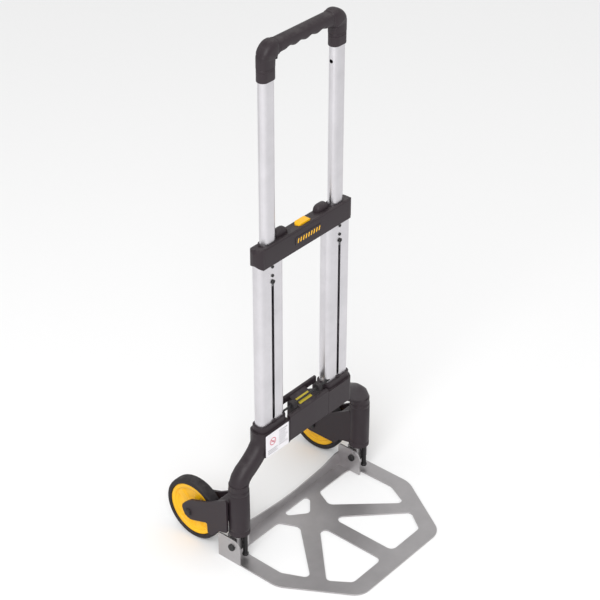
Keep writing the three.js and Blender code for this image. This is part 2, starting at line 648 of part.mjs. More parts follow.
// ---------- assembly ----------
add('toe_plate', toePlateBody(), sheetMetal);
addPair('foot_block', footBlock(), sheetMetal);
addCopies('hinge_bolt', hingeBolt(), blackSteel);
addPair('stop_post', stopPost(), blackSteel);
addPair('knuckle_pin', barZ(knuckle.pinRadius, pinBottom(), knuckle.top + 15, knuckle.x, 0), steel);

addPair('leg', legBody(), charcoal);
add('crossmember', crossmemberBody(), charcoal);
add('cross_rod', crossRod(), blackSteel);
addPair('rod_buffer', rodBuffer(), darkRubber);
add('warning_label', warningLabel(), whiteLabel);
add('block_label', blockLabel(), oliveLabel);

addPair('profile', profileBody(), aluminium);
addPair('slot_stop', slotStop(), charcoal);
const rivetHeights = { upper: crossbar.bottom - 4.5, lower: slotTop + 9 };
for (const [row, height] of Object.entries(rivetHeights)) {
  addPair(`rivet_${row}`, rivetGeometry(height), blackSteel);
}

const shell = crossbarShell();
add('crossbar_front', crossbarHalf(shell, true), charcoal);
add('crossbar_rear', crossbarHalf(shell, false), charcoal);
add('crossbar_badge', badge(), charcoal);
addPair('guide_bushing', bushingBody(), charcoal);

add('release_button', buttonBody(), amber);
addPair('latch_pin', latchPin(), steel);
const coilFloor = crossbar.bottom + crossbar.wall + gap;
const coilHeight = button.skirt + button.travel + 2 - 2 * gap;
add('button_spring', coilSpring(3.4, 1.2, 4, coilHeight, 'z').translate(0, 0, coilFloor), steel);
const latchCoil = coilSpring(latch.coilRadius, latch.wire, 4, 18, 'x').translate(33, 0, latch.height);
addPair('latch_spring', latchCoil, steel);

addPair('upper_tube', upperTubeBody(), aluminium);
addPair('tube_slider', sliderBody(), greyNylon);
addPair('guide_stud', studBody(), blackSteel);
addPair('handle_collar', collarBody(), charcoal);
add('handle_grip', gripBody(), charcoal);

addPair('fork', forkBody(), charcoal);
addPair('axle', axleBody(), blackSteel);
addPair('wheel_disc', wheelDisc(), amber);
addPair('tyre', tyreBody(), darkRubber);

export default truck;
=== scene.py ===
"""Folding hand truck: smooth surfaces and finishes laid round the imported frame."""

import json
import math

import bmesh
import bpy
import numpy as np
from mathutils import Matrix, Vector

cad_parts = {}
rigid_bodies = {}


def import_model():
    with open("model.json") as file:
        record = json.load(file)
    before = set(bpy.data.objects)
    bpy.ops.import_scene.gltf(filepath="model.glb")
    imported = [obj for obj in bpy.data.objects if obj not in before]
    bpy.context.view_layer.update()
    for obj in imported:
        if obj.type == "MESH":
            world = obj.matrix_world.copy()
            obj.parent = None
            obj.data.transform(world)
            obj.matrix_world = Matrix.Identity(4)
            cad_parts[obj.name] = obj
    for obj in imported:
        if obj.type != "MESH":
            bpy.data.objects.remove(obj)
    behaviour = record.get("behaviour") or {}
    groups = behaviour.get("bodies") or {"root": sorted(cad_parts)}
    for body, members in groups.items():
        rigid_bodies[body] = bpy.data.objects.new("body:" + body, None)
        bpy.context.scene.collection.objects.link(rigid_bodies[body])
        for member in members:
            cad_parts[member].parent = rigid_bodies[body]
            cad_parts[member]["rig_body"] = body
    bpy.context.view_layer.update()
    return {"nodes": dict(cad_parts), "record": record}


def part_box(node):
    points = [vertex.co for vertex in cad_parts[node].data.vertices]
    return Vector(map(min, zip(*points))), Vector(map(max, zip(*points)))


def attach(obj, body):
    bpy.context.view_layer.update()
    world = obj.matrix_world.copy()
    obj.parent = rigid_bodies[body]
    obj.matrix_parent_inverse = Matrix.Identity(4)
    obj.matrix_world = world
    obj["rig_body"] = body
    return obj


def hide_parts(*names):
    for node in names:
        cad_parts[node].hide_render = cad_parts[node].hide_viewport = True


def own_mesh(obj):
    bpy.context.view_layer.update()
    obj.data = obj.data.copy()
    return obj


bl_info = {
    "name": "Folding hand truck",
    "version": (1, 0, 0),
    "blender": (4, 5, 0),
    "location": "View3D > Sidebar > Hand truck",
    "description": "Makes the pieces and finishes of a folding hand truck",
    "category": "Object",
}

MM = 0.001
SIDES = (("left", -1.0), ("right", 1.0))
AXES = {"x": (0, 1, 2), "y": (1, 2, 0), "z": (2, 0, 1)}

# Copies of frame nodes: metres within which points merge, and degrees taken as flat.
MERGE_REACH = 2e-6
FLAT_TURN = 0.6

# Rounded edges, in metres, that the settings don't cover.
LEG_EDGE, BOLT_EDGE, PIN_EDGE = 0.0006, 0.0005, 0.0004
GUIDE_EDGE, ROD_EDGE, BADGE_EDGE = 0.0003, 0.0002, 0.0001

# Looks: gloss, colours in linear light and heights of the bumps in metres.
PLASTIC_GLOSS = 0.34
DUST_COLOUR = (0.32, 0.3, 0.29)
RUBBED_STEEL = (0.2, 0.2, 0.21)
GRAIN_BUMP, LINE_BUMP, FILM_BUMP = 0.00006, 0.00002, 0.00001

# Slot: name of its colour, roughness, stretch of its lines and how scuffed it is.
METALS = {
    "aluminium": ("aluminium", 0.36, (1500.0, 1500.0, 6.0), 0.0),
    "sheet_metal": ("sheet", 0.42, (7.0, 900.0, 900.0), 0.3),
    "steel": ("zinc", 0.3, (900.0, 900.0, 300.0), 0.0),
}
# Slot: name of its colour, roughness and how much lighter its rubbed edges are.
MOULDINGS = {
    "charcoal_plastic": ("charcoal", 0.5, 2.6),
    "dark_rubber": ("rubber", 0.68, 2.4),
    "amber_plastic": ("amber", 0.34, 1.15),
    "grey_nylon": ("nylon", 0.45, 1.5),
}
FILMS = {
    "white_label": "paper", "olive_label": "olive", "red_print": "print_red",
    "grey_print": "print_grey",
}

# Stage: metres, and degrees for the camera's direction.
FLOOR_REACH = 30.0
LIGHT_AIM = (0.0, 0.0, 0.5)
KEY_SIZE, KEY_PLACE = 2.4, (-2.6, -1.4, 3.0)
FILL_SIZE, FILL_PLACE = 3.0, (2.6, -2.4, 2.2)
CAMERA_PLACE = (-2.02608, -1.67131, 2.19168)
CAMERA_AZIMUTH, CAMERA_ELEVATION = -49.652, 32.969
CAMERA_SENSOR, CAMERA_SHIFT = 36.0, 0.0071
CAMERA_NEAR, CAMERA_FAR = 0.05, 100.0

# Turned heads, in millimetres, as rows of (depth, radius).
TIP_RADIUS = 0.01
RIVET_SHANK = ((0.0, 1.6), (0.6, 2.9))
RIVET_RIM = ((0.9, 3.0), (0.45, 2.7), (0.15, 2.0), (0.02, 1.2), (0.35, 0.9), (0.4, 0.4))
STUD_SHANK = ((0.0, 2.4), (0.4, 2.75))
STUD_RIM = ((1.9, 2.75), (1.6, 4.1), (0.5, 4.2), (0.1, 3.6), (0.0, 2.4), (0.9, 2.2),
            (1.0, 1.0))
SCREW_HEAD = ((-0.6, 3.0), (0.5, 3.2), (1.0, 2.9), (1.15, 2.2), (1.15, 1.6), (0.2, 1.5))
SCREW_PLACES, SCREW_LEVEL = (-108.0, -36.0, 36.0, 108.0), 19.0

# Springs: radius of the coil and thickness of the wire in metres, and turns.
BUTTON_COIL = (0.00345, 0.0011, 5)
LATCH_COIL = (0.00495, 0.0013, 7)
# Points a turn, turns that lie close at each end, and their lead in wire thicknesses.
COIL_STEPS, CLOSED_TURNS, CLOSED_LEAD = 36, 1.0, 1.05
WIRE_POINTS = 12

# Clearance of the two faces of a print from the face that it lies on, in millimetres.
PRINT_OUTER, PRINT_INNER = 0.12, 0.02

# Guards and grip in millimetres. Each square is the power of a superellipse.
GUARD_WIDTH, GUARD_DEPTH, GUARD_HEIGHT = 15.5, 9.0, 15.5
GUARD_SINK, GUARD_INSET, GUARD_BACK, GUARD_SQUARE = 3.0, 35.0, 3.5, 0.6
GRIP_HEIGHT, GRIP_BEND, GRIP_SLEEVE = 29.5, 15.0, 66.0
GRIP_WAVE, GRIP_WAVE_DEPTH, GRIP_WEB, GRIP_SQUARE = 27.0, 2.9, 5.5, 0.72
# Rings up each post and round each corner, and rings along the top.
GRIP_STEPS, GRIP_TOP_STEPS = 22, 260

# The sign's ring in millimetres, and the number of plates in it.
SIGN_INNER, SIGN_OUTER, SIGN_PLATES = 6.6, 8.2, 24

# The knuckle sleeve's foot above the fork's lowest point, in metres.
SLEEVE_FOOT = 0.0180

# Sleeve and wheels: radii and depth in millimetres, and the number of pockets.
SLEEVE_BORE, TYRE_BEAD, DISC_BORE = 17.6, 53.2, 5.4
DISC_POCKETS, POCKET_DEPTH = 5.0, 3.2

for thing in list(bpy.data.objects):
    bpy.data.objects.remove(thing)

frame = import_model()
SLOTS = {part["node"]: part["material_slot"] for part in frame["record"]["subparts"]}
FINISHES = {}


# ---------- sizes and colours that can be changed ----------
def colour_prop(name, red, green, blue, description):
    """A colour for a PropertyGroup, in linear light."""
    return bpy.props.FloatVectorProperty(
        name=name, description=description, subtype="COLOR", size=3, min=0.0, max=1.0,
        default=(red, green, blue))


def length_prop(name, millimetres, description):
    """A length for a PropertyGroup, given in millimetres and kept in metres."""
    return bpy.props.FloatProperty(
        name=name, description=description, default=millimetres * MM, min=0.0,
        unit="LENGTH", subtype="DISTANCE", precision=5)


def share_prop(name, value, description):
    """A share from 0 to 1 for a PropertyGroup."""
    return bpy.props.FloatProperty(
        name=name, description=description, default=value, min=0.0, max=1.0,
        subtype="FACTOR")


class TruckColours(bpy.types.PropertyGroup):
    """Base colours of the truck's finishes."""

    aluminium: colour_prop("Aluminium", 0.64, 0.625, 0.65, "Satin anodised tubes")
    sheet: colour_prop("Sheet metal", 0.46, 0.445, 0.45, "Toe plate and its feet")
    charcoal: colour_prop("Charcoal", 0.024, 0.0165, 0.0205, "Moulded plastic parts")
    rubber: colour_prop("Rubber", 0.018, 0.015, 0.017, "Tyres and buffers")
    amber: colour_prop("Amber", 0.88, 0.47, 0.008, "Wheel discs and button")
    nylon: colour_prop("Grey nylon", 0.22, 0.22, 0.23, "Guides and sliders")
    black: colour_prop("Black steel", 0.012, 0.011, 0.012, "Bolts, rod and axles")
    zinc: colour_prop("Zinc steel", 0.5, 0.5, 0.52, "Pins, rivets and springs")
    paper: colour_prop("Sticker", 0.83, 0.81, 0.84, "Film of the white sticker")
    olive: colour_prop("Block sticker", 0.48, 0.38, 0.03, "Film on the centre block")
    print_red: colour_prop("Red print", 0.62, 0.12, 0.17, "Sign on the white sticker")
    print_grey: colour_prop("Grey print", 0.3, 0.29, 0.31, "Lines on the white sticker")


class TruckSizes(bpy.types.PropertyGroup):
    """Small sizes of the looks that the frame doesn't give."""

    mould_edge: length_prop("Moulding edge", 0.9, "Rounding of moulded edges")
    metal_edge: length_prop("Metal edge", 0.35, "Rounding of cut metal edges")
    wear: share_prop("Wear", 0.35, "How far edges are rubbed")
    dust: share_prop("Dust", 0.12, "How much dust lies on upward faces")


class StageSettings(bpy.types.PropertyGroup):
    """Floor, lights and camera."""

    floor: colour_prop("Floor", 0.93, 0.93, 0.93, "Pale plain floor")
    key_power: bpy.props.FloatProperty(
        name="Key light", description="Power of the large light on the left",
        default=95.0, min=0.0)
    fill_power: bpy.props.FloatProperty(
        name="Fill light", description="Power of the soft light on the right",
        default=6.0, min=0.0)
    sky: bpy.props.FloatProperty(
        name="Sky", description="Strength of the even light from all round",
        default=0.8, min=0.0)
    lens: bpy.props.FloatProperty(
        name="Lens", description="Focal length of the camera in millimetres",
        default=108.14, min=1.0)


# ---------- meshes ----------
def new_piece(name, mesh, material, body):
    """Links a mesh as a piece that rides on a body and takes a slot's finish."""
    piece = bpy.data.objects.new(name, mesh)
    bpy.context.scene.collection.objects.link(piece)
    mesh.materials.clear()
    mesh.materials.append(material)
    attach(piece, body)
    return piece


def smooth(mesh, angle):
    """Shades a mesh smooth, but for edges sharper than an angle in degrees."""
    mesh.shade_smooth()
    mesh.set_sharp_from_angle(angle=math.radians(angle))


def soften(piece, width, segments, angle):
    """Rounds a piece's sharp edges and keeps its flat faces flat in shading.

    A width of 0 leaves the edges as they are.
    """
    if width > 0:
        bevel = piece.modifiers.new("rounded edges", "BEVEL")
        bevel.width, bevel.segments = width, segments
        bevel.limit_method, bevel.angle_limit = "ANGLE", math.radians(angle)
        bevel.use_clamp_overlap = True
        bevel.harden_normals = False
    weighted = piece.modifiers.new("flat faces", "WEIGHTED_NORMAL")
    weighted.keep_sharp = True


def finer_one(node, width, segments=3, angle=32.0):
    """A merged copy of a frame node with rounded edges, which stands for the node."""
    source = frame["nodes"][node]
    shape = bmesh.new()
    shape.from_mesh(source.data)
    bmesh.ops.remove_doubles(shape, verts=shape.verts, dist=MERGE_REACH)
    bmesh.ops.dissolve_limit(
        shape, angle_limit=math.radians(FLAT_TURN), verts=shape.verts, edges=shape.edges)
    mesh = bpy.data.meshes.new(node + "_skin")
    shape.to_mesh(mesh)
    shape.free()
    smooth(mesh, angle)
    slot = SLOTS[node]
    piece = new_piece(node + "_skin", mesh, finish_of(slot), source["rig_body"])
    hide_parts(node)
    soften(piece, width, segments, angle)


def finer_pair(stem, width, segments=3, angle=32.0):
    """Finer copies of a node on both sides."""
    for side, _ in SIDES:
        finer_one(f"{stem}_{side}", width, segments, angle)


def closed_surface(name, rings, wrap=False):
    """A closed skin through rings of points, an array of (rings, points, 3).

    Ring i joins ring i + 1 point by point. With wrap the last ring joins the first,
    as on a tyre. Without it each end is closed by a fan round its middle.
    """
    rows, cols = rings.shape[:2]
    points = rings.reshape(-1, 3)
    across = np.arange(cols)
    steps = np.arange(rows if wrap else rows - 1)
    here = (steps[:, None] * cols + across).ravel()
    beside = (steps[:, None] * cols + (across + 1) % cols).ravel()
    ahead = ((steps[:, None] + 1) % rows * cols + across).ravel()
    corner = ((steps[:, None] + 1) % rows * cols + (across + 1) % cols).ravel()
    quads = np.stack([here, beside, corner, ahead], axis=1)
    triangles = np.zeros((0, 3), int)
    if not wrap:
        middles = np.stack([rings[0].mean(0), rings[-1].mean(0)])
        first, last = len(points), len(points) + 1
        points = np.concatenate([points, middles])
        ring = across + (rows - 1) * cols
        ring_next = (across + 1) % cols + (rows - 1) * cols
        triangles = np.concatenate([
            np.stack([np.full(cols, first), (across + 1) % cols, across], axis=1),
            np.stack([np.full(cols, last), ring, ring_next], axis=1)])
    mesh = bpy.data.meshes.new(name)
    mesh.from_pydata(points.tolist(), [], quads.tolist() + triangles.tolist())
    shape = bmesh.new()
    shape.from_mesh(mesh)
    bmesh.ops.remove_doubles(shape, verts=shape.verts, dist=1e-7)
    bmesh.ops.recalc_face_normals(shape, faces=shape.faces)
    shape.to_mesh(mesh)
    shape.free()
    return mesh


# ---------- node groups ----------
def put(tree, kind, sockets=None, **settings):
    """Adds a node to a tree, sets it and joins or fills its sockets."""
    node = tree.nodes.new(kind)
    for key, value in settings.items():
        setattr(node, key, value)
    for key, value in (sockets or {}).items():
        if isinstance(value, bpy.types.NodeSocket):
            tree.links.new(value, node.inputs[key])
        else:
            node.inputs[key].default_value = value
    return node


def maths(tree, operation, first, second, clamp=False):
    """The result of one Math node."""
    node = put(tree, "ShaderNodeMath", {0: first, 1: second}, operation=operation)
    node.use_clamp = clamp
    return node.outputs[0]


def spread(tree, value, low, high, to_low=0.0, to_high=1.0):
    """A value carried from one range to another and clamped."""
    return put(tree, "ShaderNodeMapRange", {
        "Value": value, "From Min": low, "From Max": high,
        "To Min": to_low, "To Max": to_high}).outputs[0]


def mixed(tree, share, first, second):
    """Two colours mixed by a share."""
    node = put(tree, "ShaderNodeMix", {"Factor": share}, data_type="RGBA")
    for socket, value in ((node.inputs[6], first), (node.inputs[7], second)):
        if isinstance(value, bpy.types.NodeSocket):
            tree.links.new(value, socket)
        else:
            socket.default_value = (*value[:3], 1.0)
    return node.outputs[2]


def group_frame(name, inputs, outputs):
    """An empty shader node group with its sockets, and its two end nodes."""
    group = bpy.data.node_groups.new(name, "ShaderNodeTree")
    for label, value in inputs:
        kind = "NodeSocketVector" if isinstance(value, tuple) else "NodeSocketFloat"
        socket = group.interface.new_socket(label, in_out="INPUT", socket_type=kind)
        socket.default_value = value
    for label in outputs:
        group.interface.new_socket(label, in_out="OUTPUT", socket_type="NodeSocketFloat")
    return group, group.nodes.new("NodeGroupInput"), group.nodes.new("NodeGroupOutput")


def edge_wear_group():
    """Mask of rubbed edges: where the rounded normal leaves the true one, broken up."""
    group, given, out = group_frame(
        "edge wear", (("Reach", 0.0014), ("Amount", 0.5)), ("Mask",))
    rounded = put(group, "ShaderNodeBevel", {"Radius": given.outputs["Reach"]}, samples=4)
    surface = put(group, "ShaderNodeNewGeometry")
    dot = put(group, "ShaderNodeVectorMath",
              {0: rounded.outputs[0], 1: surface.outputs["Normal"]},
              operation="DOT_PRODUCT")
    turn = spread(group, dot.outputs["Value"], 0.995, 0.88)
    place = put(group, "ShaderNodeTexCoord")
    patches = put(group, "ShaderNodeTexNoise", {
        "Vector": place.outputs["Object"], "Scale": 95.0, "Detail": 5.0,
        "Roughness": 0.7})
    broken = spread(group, patches.outputs[0], 0.42, 0.66)
    mask = maths(group, "MULTIPLY", turn, broken)
    mask = maths(group, "MULTIPLY", mask, given.outputs["Amount"], clamp=True)
    group.links.new(mask, out.inputs["Mask"])
    return group


def grain_group():
    """Height of a moulded grain and a slow drift of tone over the part."""
    group, given, out = group_frame(
        "moulded grain", (("Size", 900.0), ("Drift", 14.0)), ("Height", "Tone"))
    place = put(group, "ShaderNodeTexCoord").outputs["Object"]
    cells = put(group, "ShaderNodeTexVoronoi", {
        "Vector": place, "Scale": given.outputs["Size"]}, feature="SMOOTH_F1")
    fine = put(group, "ShaderNodeTexNoise", {
        "Vector": place, "Scale": given.outputs["Size"], "Detail": 3.0})
    height = maths(group, "MULTIPLY", cells.outputs["Distance"], fine.outputs[0])
    slow = put(group, "ShaderNodeTexNoise", {
        "Vector": place, "Scale": given.outputs["Drift"], "Detail": 4.0,
        "Roughness": 0.6})
    group.links.new(height, out.inputs["Height"])
    group.links.new(spread(group, slow.outputs[0], 0.3, 0.7), out.inputs["Tone"])
    return group


def brushed_group():
    """Fine lines drawn out along one axis by squeezing the coordinates across it."""
    group, given, out = group_frame(
        "brushed lines", (("Stretch", (1400.0, 1400.0, 9.0)),), ("Height", "Tone"))
    place = put(group, "ShaderNodeTexCoord").outputs["Object"]
    drawn = put(group, "ShaderNodeVectorMath",
                {0: place, 1: given.outputs["Stretch"]}, operation="MULTIPLY")
    lines = put(group, "ShaderNodeTexNoise", {
        "Vector": drawn.outputs[0], "Scale": 1.0, "Detail": 2.0})
    slow = put(group, "ShaderNodeTexNoise", {
        "Vector": place, "Scale": 22.0, "Detail": 5.0, "Roughness": 0.65})
    group.links.new(lines.outputs[0], out.inputs["Height"])
    group.links.new(spread(group, slow.outputs[0], 0.32, 0.68), out.inputs["Tone"])
    return group


def dust_group():
    """Mask of dust: faces that look upwards, broken by a cloudy pattern."""
    group, given, out = group_frame("dust", (("Amount", 0.2),), ("Mask",))
    surface = put(group, "ShaderNodeNewGeometry")
    up = put(group, "ShaderNodeSeparateXYZ", {0: surface.outputs["Normal"]})
    lying = spread(group, up.outputs["Z"], 0.45, 0.95)
    place = put(group, "ShaderNodeTexCoord").outputs["Object"]
    cloud = put(group, "ShaderNodeTexNoise", {
        "Vector": place, "Scale": 60.0, "Detail": 8.0, "Roughness": 0.72})
    patchy = spread(group, cloud.outputs[0], 0.4, 0.68)
    mask = maths(group, "MULTIPLY", maths(group, "MULTIPLY", lying, patchy),
                 given.outputs["Amount"], clamp=True)
    group.links.new(mask, out.inputs["Mask"])
    return group


def scratches_group():
    """Thin crossing scratches: borders of two stretched cell patterns, broken up."""
    group, given, out = group_frame(
        "scratches", (("Size", 34.0), ("Amount", 0.5)), ("Mask",))
    place = put(group, "ShaderNodeTexCoord").outputs["Object"]
    lines = []
    for turn, pull in ((0.35, 26.0), (-0.7, 34.0)):
        turned = put(group, "ShaderNodeMapping", {
            "Vector": place, "Rotation": (0.0, 0.0, turn), "Scale": (1.0, pull, 1.0)})
        cells = put(group, "ShaderNodeTexVoronoi", {
            "Vector": turned.outputs[0], "Scale": given.outputs["Size"]},
            feature="DISTANCE_TO_EDGE")
        lines.append(spread(group, cells.outputs["Distance"], 0.012, 0.0))
    patches = put(group, "ShaderNodeTexNoise", {
        "Vector": place, "Scale": 30.0, "Detail": 4.0})
    broken = spread(group, patches.outputs[0], 0.5, 0.62)
    both = maths(group, "MAXIMUM", lines[0], lines[1])
    mask = maths(group, "MULTIPLY", maths(group, "MULTIPLY", both, broken),
                 given.outputs["Amount"], clamp=True)
    group.links.new(mask, out.inputs["Mask"])
    return group


GROUP_MAKERS = {
    "edge wear": edge_wear_group, "moulded grain": grain_group,
    "brushed lines": brushed_group, "dust": dust_group, "scratches": scratches_group,
}


def use_group(tree, name, sockets=None):
    """Places a shared effect in a tree, making its group the first time."""
    group = bpy.data.node_groups.get(name) or GROUP_MAKERS[name]()
    return put(tree, "ShaderNodeGroup", sockets, node_tree=group)


# ---------- finishes ----------
def finish_frame(name, **plain):
    """A new material with its Principled shader, whose plain sockets are set."""
    material = bpy.data.materials.new(name + "_finish")
    material.use_nodes = True
    tree = material.node_tree
    shader = tree.nodes["Principled BSDF"]
    for label, value in plain.items():
        shader.inputs[label.replace("_", " ")].default_value = value
    return material, tree, shader


def shade(colour, factor):
    """A colour made lighter or darker."""
    return tuple(min(1.0, channel * factor) for channel in colour)


def bump(tree, shader, height, distance):
    """Raises the surface by a height map."""
    node = put(tree, "ShaderNodeBump", {
        "Height": height, "Distance": distance, "Strength": 1.0})
    tree.links.new(node.outputs[0], shader.inputs["Normal"])


def moulded_plastic(name, colour, rough, worn):
    """Grained moulding: drifting tone, rubbed lighter edges and a little dust."""
    sizes = bpy.context.scene.truck_sizes
    material, tree, shader = finish_frame(name, IOR=1.49)
    shader.inputs["Specular IOR Level"].default_value = PLASTIC_GLOSS
    grain = use_group(tree, "moulded grain")
    wear = use_group(tree, "edge wear", {"Amount": sizes.wear})
    dust = use_group(tree, "dust", {"Amount": sizes.dust})
    base = mixed(tree, grain.outputs["Tone"], shade(colour, 0.88), shade(colour, 1.12))
    base = mixed(tree, wear.outputs[0], base, worn)
    base = mixed(tree, dust.outputs[0], base, DUST_COLOUR)
    tree.links.new(base, shader.inputs["Base Color"])
    rougher = spread(tree, grain.outputs["Tone"], 0.0, 1.0, rough - 0.05, rough + 0.06)
    tree.links.new(maths(tree, "ADD", rougher, maths(
        tree, "MULTIPLY", dust.outputs[0], 0.3), clamp=True), shader.inputs["Roughness"])
    bump(tree, shader, grain.outputs["Height"], GRAIN_BUMP)
    return material


def drawn_metal(name, colour, rough, stretch, scuffed):
    """Metal with fine lines, tone that drifts, and scratches where it is scuffed."""
    sizes = bpy.context.scene.truck_sizes
    material, tree, shader = finish_frame(name, Metallic=1.0)
    lines = use_group(tree, "brushed lines", {"Stretch": stretch})
    wear = use_group(tree, "edge wear", {"Amount": sizes.wear, "Reach": 0.0008})
    base = mixed(tree, lines.outputs["Tone"], shade(colour, 0.93), shade(colour, 1.05))
    fine = spread(tree, lines.outputs["Height"], 0.3, 0.7)
    base = mixed(tree, maths(tree, "MULTIPLY", fine, 0.18), base, shade(colour, 1.25))
    base = mixed(tree, wear.outputs[0], base, shade(colour, 1.3))
    roughness = spread(tree, lines.outputs["Height"], 0.2, 0.8, rough - 0.06, rough + 0.07)
    height = lines.outputs["Height"]
    if scuffed:
        marks = use_group(tree, "scratches", {"Amount": scuffed})
        base = mixed(tree, marks.outputs[0], base, shade(colour, 1.45))
        roughness = maths(tree, "SUBTRACT", roughness, maths(
            tree, "MULTIPLY", marks.outputs[0], 0.12))
        height = maths(tree, "SUBTRACT", height, marks.outputs[0])
    tree.links.new(base, shader.inputs["Base Color"])
    tree.links.new(roughness, shader.inputs["Roughness"])
    bump(tree, shader, height, LINE_BUMP)
    return material


def printed_film(name, colour):
    """A sticker's film: faint tone drift and a soft gloss."""
    material, tree, shader = finish_frame(name, IOR=1.45)
    grain = use_group(tree, "moulded grain", {"Drift": 60.0})
    base = mixed(tree, grain.outputs["Tone"], shade(colour, 0.95), shade(colour, 1.04))
    tree.links.new(base, shader.inputs["Base Color"])
    tree.links.new(spread(tree, grain.outputs["Tone"], 0.0, 1.0, 0.36, 0.48),
                   shader.inputs["Roughness"])
    bump(tree, shader, grain.outputs["Height"], FILM_BUMP)
    return material


def make_finish(slot):
    """The material of a slot, worked out from the colours of the scene."""
    colours = bpy.context.scene.truck_colours
    if slot in METALS:
        name, rough, stretch, scuffed = METALS[slot]
        return drawn_metal(slot, getattr(colours, name), rough, stretch, scuffed)
    if slot in MOULDINGS:
        name, rough, lighter = MOULDINGS[slot]
        colour = getattr(colours, name)
        return moulded_plastic(slot, colour, rough, shade(colour, lighter))
    if slot in FILMS:
        return printed_film(slot, getattr(colours, FILMS[slot]))
    return moulded_plastic(slot, colours.black, 0.42, RUBBED_STEEL)


def finish_of(slot):
    """The one material of a slot, made when first asked for."""
    if slot not in FINISHES:
        FINISHES[slot] = make_finish(slot)
    return FINISHES[slot]


# ---------- surfaces of the truck's own pieces ----------
def blend_step(value, low, high):
    """0 below low, 1 above high and a smooth S between, for whole arrays."""
    share = np.clip((value - low) / (high - low), 0.0, 1.0)
    return share * share * (3.0 - 2.0 * share)


def six_sided(angle):
    """Radius of a hexagon of corner radius 1 at an angle: cos 30 over cos of the
    angle from the nearest flat's middle."""
    from_flat = np.mod(angle, math.pi / 3) - math.pi / 6
    return math.cos(math.pi / 6) / np.cos(from_flat)


def turned_rings(profile, axis, centre, around, hexed=(), sink=None):
    """Rings of a turned shape: each profile row (along, radius) goes round the axis.

    Rows named in hexed go round as hexagons. sink(radius, angle) gives how far each
    point moves along the axis, as a pocket does.
    """
    profile = np.asarray(profile, float) * MM
    angle = np.linspace(0.0, 2.0 * math.pi, around, endpoint=False)
    radius = np.repeat(profile[:, 1:2], around, axis=1)
    for row in hexed:
        radius[row] = radius[row] * six_sided(angle)
    along = np.repeat(profile[:, 0:1], around, axis=1)
    if sink is not None:
        along = along + sink(profile[:, 0:1], radius, angle[None, :])
    first, second, third = AXES[axis]
    rings = np.zeros((len(profile), around, 3))
    rings[..., first] = along
    rings[..., second] = radius * np.cos(angle)
    rings[..., third] = radius * np.sin(angle)
    return rings + np.asarray(centre, float)


def middle_of(node):
    """Middle of a node's box, in metres."""
    low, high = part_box(node)
    return np.array([(low[i] + high[i]) / 2 for i in range(3)])


def capped(profile):
    """A profile closed on its axis: a near-zero radius at both of its ends."""
    start, end = profile[0], profile[-1]
    return [(start[0], TIP_RADIUS), *profile, (end[0], TIP_RADIUS)]


def turned_piece(name, node, profile, axis, centre, around, hexed=()):
    """A solid turned piece that stands for a node. Hexed rows are as in the profile."""
    rings = turned_rings(capped(profile), axis, centre, around, [row + 1 for row in hexed])
    surface_piece(name, node, rings, angle=32.0)


def coil_points(radius, wire, start, end, turns, axis, centre):
    """Middle line of a spring: a helix whose first and last turns lie close."""
    count = turns * COIL_STEPS
    share = np.linspace(0.0, 1.0, count)
    turn = share * turns
    run = np.clip((turn - CLOSED_TURNS) / (turns - 2 * CLOSED_TURNS), 0.0, 1.0)
    lead = wire * CLOSED_LEAD
    near = np.minimum(turn, CLOSED_TURNS) * lead
    far = np.clip(turn - (turns - CLOSED_TURNS), 0.0, None) * lead
    along = near + run * (end - start - wire - 2 * CLOSED_TURNS * lead) + far
    angle = 2.0 * math.pi * turn
    first, second, third = AXES[axis]
    line = np.zeros((count, 3))
    line[:, first] = start + wire / 2 + along
    line[:, second] = radius * np.cos(angle)
    line[:, third] = radius * np.sin(angle)
    line[:, second] += centre[second]
    line[:, third] += centre[third]
    return line


def rod_rings(line, radius):
    """Rings of a round wire along a line, each square to the line's direction."""
    ahead = np.gradient(line, axis=0)
    ahead /= np.linalg.norm(ahead, axis=1, keepdims=True)
    guide = np.array([0.0, 0.0, 1.0]) if abs(ahead[0, 2]) < 0.9 else np.array([1.0, 0, 0])
    side = np.cross(ahead, guide)
    side /= np.linalg.norm(side, axis=1, keepdims=True)
    up = np.cross(side, ahead)
    angle = np.linspace(0.0, 2.0 * math.pi, WIRE_POINTS, endpoint=False)
    return (line[:, None, :]
            + radius * (np.cos(angle)[None, :, None] * side[:, None, :]
                        + np.sin(angle)[None, :, None] * up[:, None, :]))


def added_piece(name, rings, body, slot, wrap=False, angle=34.0):
    """A closed skin through rings, on a body and in a slot's finish."""
    mesh = closed_surface(name, rings, wrap)
    smooth(mesh, angle)
    return new_piece(name, mesh, finish_of(slot), body)


def surface_piece(name, node, rings, wrap=False, angle=34.0):
    """A closed skin through rings that stands for a node, in its slot's finish."""
    body = frame["nodes"][node]["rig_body"]
    piece = added_piece(name, rings, body, SLOTS[node], wrap, angle)
    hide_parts(node)
    return piece


